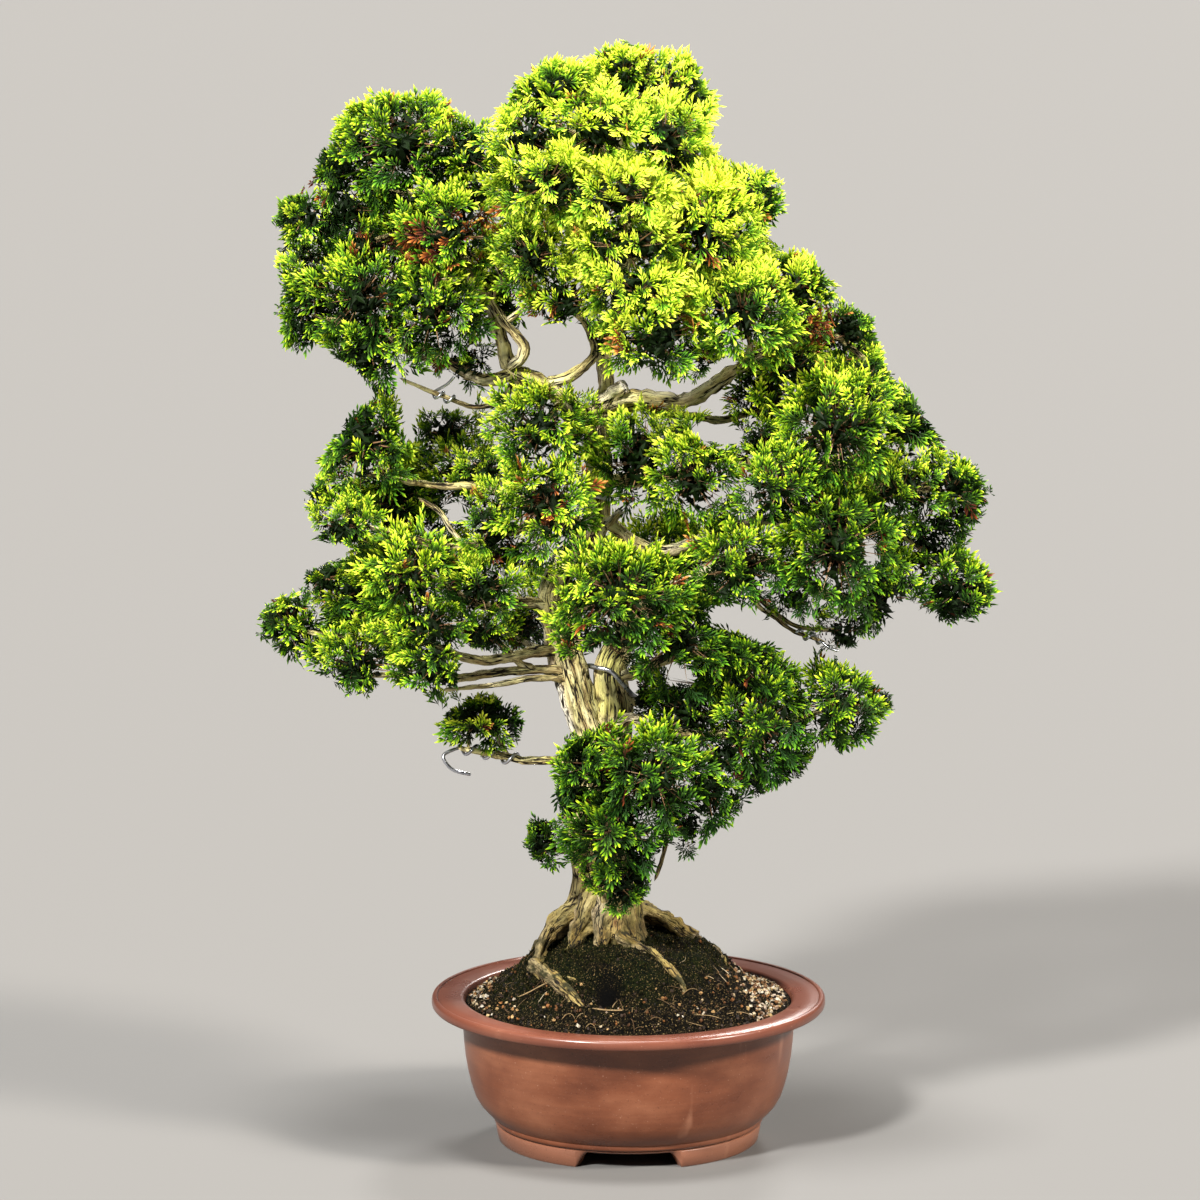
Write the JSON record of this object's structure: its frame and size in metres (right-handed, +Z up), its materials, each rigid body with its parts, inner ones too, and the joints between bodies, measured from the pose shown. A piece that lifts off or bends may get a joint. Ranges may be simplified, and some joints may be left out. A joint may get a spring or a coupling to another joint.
{
  "type": "hinoki cypress bonsai",
  "caption": "Hinoki cypress bonsai: a trunk that splits and closes again, wired limbs with pads of fan-shaped sprays, in a round clay pot with a flat lip.",
  "frame": {"origin": "on the pot's axis, at the surface that the pot's feet stand on", "axes": "+Z up along the pot's axis; -Y towards the tree's front, the side that the picture shows; +X to the right seen from the front"},
  "size_m": [0.66, 0.367, 1.0031],
  "materials": {
    "pot_clay": "unglazed red-brown clay, satin",
    "screen_plastic": "black mesh",
    "clip_wire": "bare wire",
    "mossy_soil": "dark grit with moss",
    "bark": "stringy bark with lichen and pale deadwood",
    "training_wire": "bare aluminium wire",
    "foliage": "living scale leaves, green with yellow-green tips"
  },
  "bodies": {
    "root": {"pot": "pot_clay", "drain_screen": "screen_plastic", "screen_clip": "clip_wire", "soil": "mossy_soil", "trunk_and_branches": "bark", "wire_columns": "training_wire", "wire_upper_trunk": "training_wire", "wire_lower_left": "training_wire", "wire_low_limb": "training_wire", "foliage_crown_back_high": "foliage", "foliage_crown_back_left": "foliage", "foliage_crown_back_right": "foliage", "foliage_crown_front": "foliage", "foliage_crown_front_high": "foliage", "foliage_crown_front_left": "foliage", "foliage_crown_left": "foliage", "foliage_crown_low_front": "foliage", "foliage_crown_low_right": "foliage", "foliage_crown_right": "foliage", "foliage_crown_top": "foliage", "foliage_left_back": "foliage", "foliage_left_back_low": "foliage", "foliage_left_head_back": "foliage", "foliage_left_head_front": "foliage", "foliage_left_head_inner": "foliage", "foliage_left_head_outer": "foliage", "foliage_left_head_shoulder": "foliage", "foliage_left_head_top": "foliage", "foliage_left_high": "foliage", "foliage_left_inner": "foliage", "foliage_left_low": "foliage", "foliage_left_low_middle": "foliage", "foliage_left_middle": "foliage", "foliage_left_outer": "foliage", "foliage_left_pale": "foliage", "foliage_low_back": "foliage", "foliage_low_front": "foliage", "foliage_low_front_hanging": "foliage", "foliage_low_left_twig": "foliage", "foliage_low_right": "foliage", "foliage_low_right_tip": "foliage", "foliage_lower_left": "foliage", "foliage_middle_back": "foliage", "foliage_middle_front": "foliage", "foliage_middle_front_right": "foliage", "foliage_middle_high": "foliage", "foliage_middle_left": "foliage", "foliage_right_back_high": "foliage", "foliage_right_back_low": "foliage", "foliage_right_edge": "foliage", "foliage_right_front": "foliage", "foliage_right_high": "foliage", "foliage_right_low": "foliage", "foliage_right_low_front": "foliage", "foliage_right_middle_front": "foliage", "foliage_right_middle_low": "foliage", "foliage_right_tip": "foliage", "foliage_right_tip_low": "foliage"}
  },
  "joints": []
}
